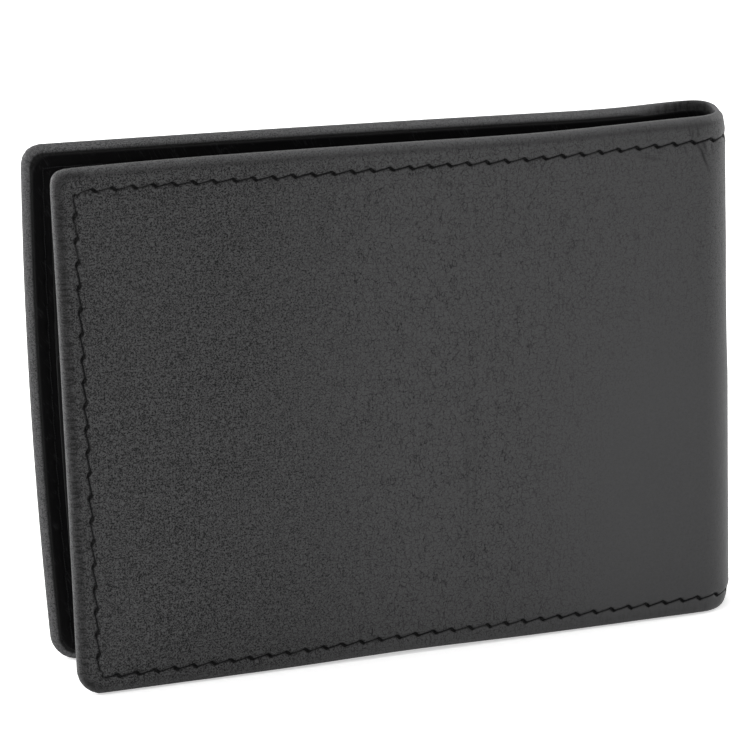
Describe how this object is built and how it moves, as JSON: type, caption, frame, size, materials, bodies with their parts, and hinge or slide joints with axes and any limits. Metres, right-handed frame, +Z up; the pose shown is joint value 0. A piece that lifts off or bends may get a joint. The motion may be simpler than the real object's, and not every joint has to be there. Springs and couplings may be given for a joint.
{
  "type": "card wallet",
  "caption": "Small folding card wallet: two stitched leather halves with rolled edges on a narrow spine, with staggered card slots inside. Opens flat at two creases.",
  "frame": {"origin": "on the surface that the wallet stands on, within 0.6 mm of the middle of its box in plan", "axes": "+X runs from the free edges to the spine, +Y from the front half to the rear half, +Z up. The front half faces -Y."},
  "size_m": [0.1018, 0.0258, 0.075],
  "materials": {
    "cover_leather": "dark charcoal leather with a fine pebbled grain, satin",
    "lining_leather": "smooth near-black leather, satin",
    "slot_leather": "thin near-black leather, satin",
    "pocket_cloth": "thin black lining cloth, matt",
    "filler_board": "plain thin board, hidden in the cover",
    "seam_thread": "black twisted thread",
    "bobbin_thread": "black bobbin thread"
  },
  "bodies": {
    "rear_half": {"cover_rear": "cover_leather", "board_rear": "filler_board", "inner_panel_rear": "lining_leather", "slot_upper_rear": "slot_leather", "slot_middle_rear": "slot_leather", "slot_lower_rear": "slot_leather", "pocket_cloth_upper_rear": "pocket_cloth", "pocket_cloth_middle_rear": "pocket_cloth", "thread_outer_rear": "seam_thread", "thread_inner_rear": "bobbin_thread"},
    "spine": {"cover_spine": "cover_leather", "spine_lining": "lining_leather", "thread_outer_spine_top": "seam_thread", "thread_outer_spine_bottom": "seam_thread", "thread_inner_spine_top": "bobbin_thread", "thread_inner_spine_bottom": "bobbin_thread"},
    "front_half": {"cover_front": "cover_leather", "board_front": "filler_board", "inner_panel_front": "lining_leather", "slot_upper_front": "slot_leather", "slot_middle_front": "slot_leather", "slot_lower_front": "slot_leather", "pocket_cloth_upper_front": "pocket_cloth", "pocket_cloth_middle_front": "pocket_cloth", "thread_outer_front": "seam_thread", "thread_inner_front": "bobbin_thread"}
  },
  "joints": [
    {"name": "rear_fold", "type": "hinge", "parent": "rear_half", "child": "spine", "pos_m": [0.04973, 0.00367, 0], "axis": [0, 0, 1], "range_deg": [-3, 87]},
    {"name": "front_fold", "type": "hinge", "parent": "spine", "child": "front_half", "pos_m": [0.04973, -0.00593, 0], "axis": [0, 0, 1], "range_deg": [-3, 87]}
  ],
  "couplings": [
    {"joint": "front_fold", "follows": "rear_fold", "ratio": 1}
  ]
}
